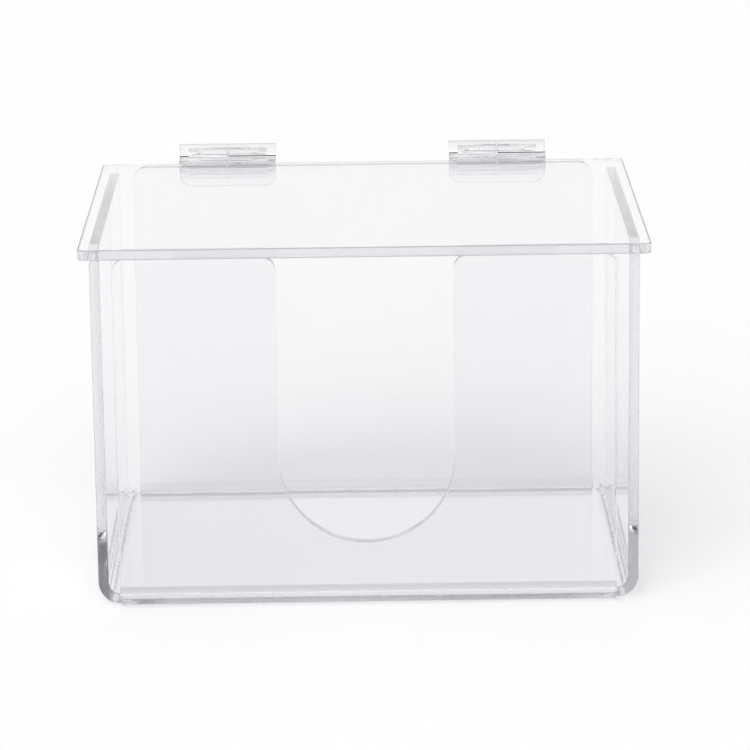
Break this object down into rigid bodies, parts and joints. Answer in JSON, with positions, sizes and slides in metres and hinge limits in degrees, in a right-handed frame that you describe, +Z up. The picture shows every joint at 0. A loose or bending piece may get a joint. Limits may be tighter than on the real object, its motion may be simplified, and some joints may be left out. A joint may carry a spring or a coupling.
{
  "type": "face mask dispenser",
  "caption": "Clear acrylic box folded from one sheet, open-topped with a U-shaped slot in its front wall, under a flat clear lid on butt hinges.",
  "frame": {"origin": "middle of the folded tray's underside, halfway between the outer faces of its four walls", "axes": "-Y towards the front wall with the slot, +X to the right seen from the front, +Z up"},
  "size_m": [0.243, 0.1933, 0.1691],
  "materials": {
    "clear_sheet": "clear cast acrylic, polished faces and polished cut edges",
    "clear_moulding": "clear moulded acrylic, smooth"
  },
  "bodies": {
    "tray": {"folded_tray": "clear_sheet", "left_hinge_tray_leaf": "clear_moulding", "right_hinge_tray_leaf": "clear_moulding", "left_hinge_pin": "clear_moulding", "right_hinge_pin": "clear_moulding"},
    "lid": {"lid": "clear_sheet", "left_hinge_lid_leaf": "clear_moulding", "right_hinge_lid_leaf": "clear_moulding"}
  },
  "joints": [
    {"name": "lid_hinge", "type": "hinge", "parent": "tray", "child": "lid", "pos_m": [0, 0.0948, 0.1651], "axis": [-1, 0, 0], "range_deg": [0, 240]}
  ]
}
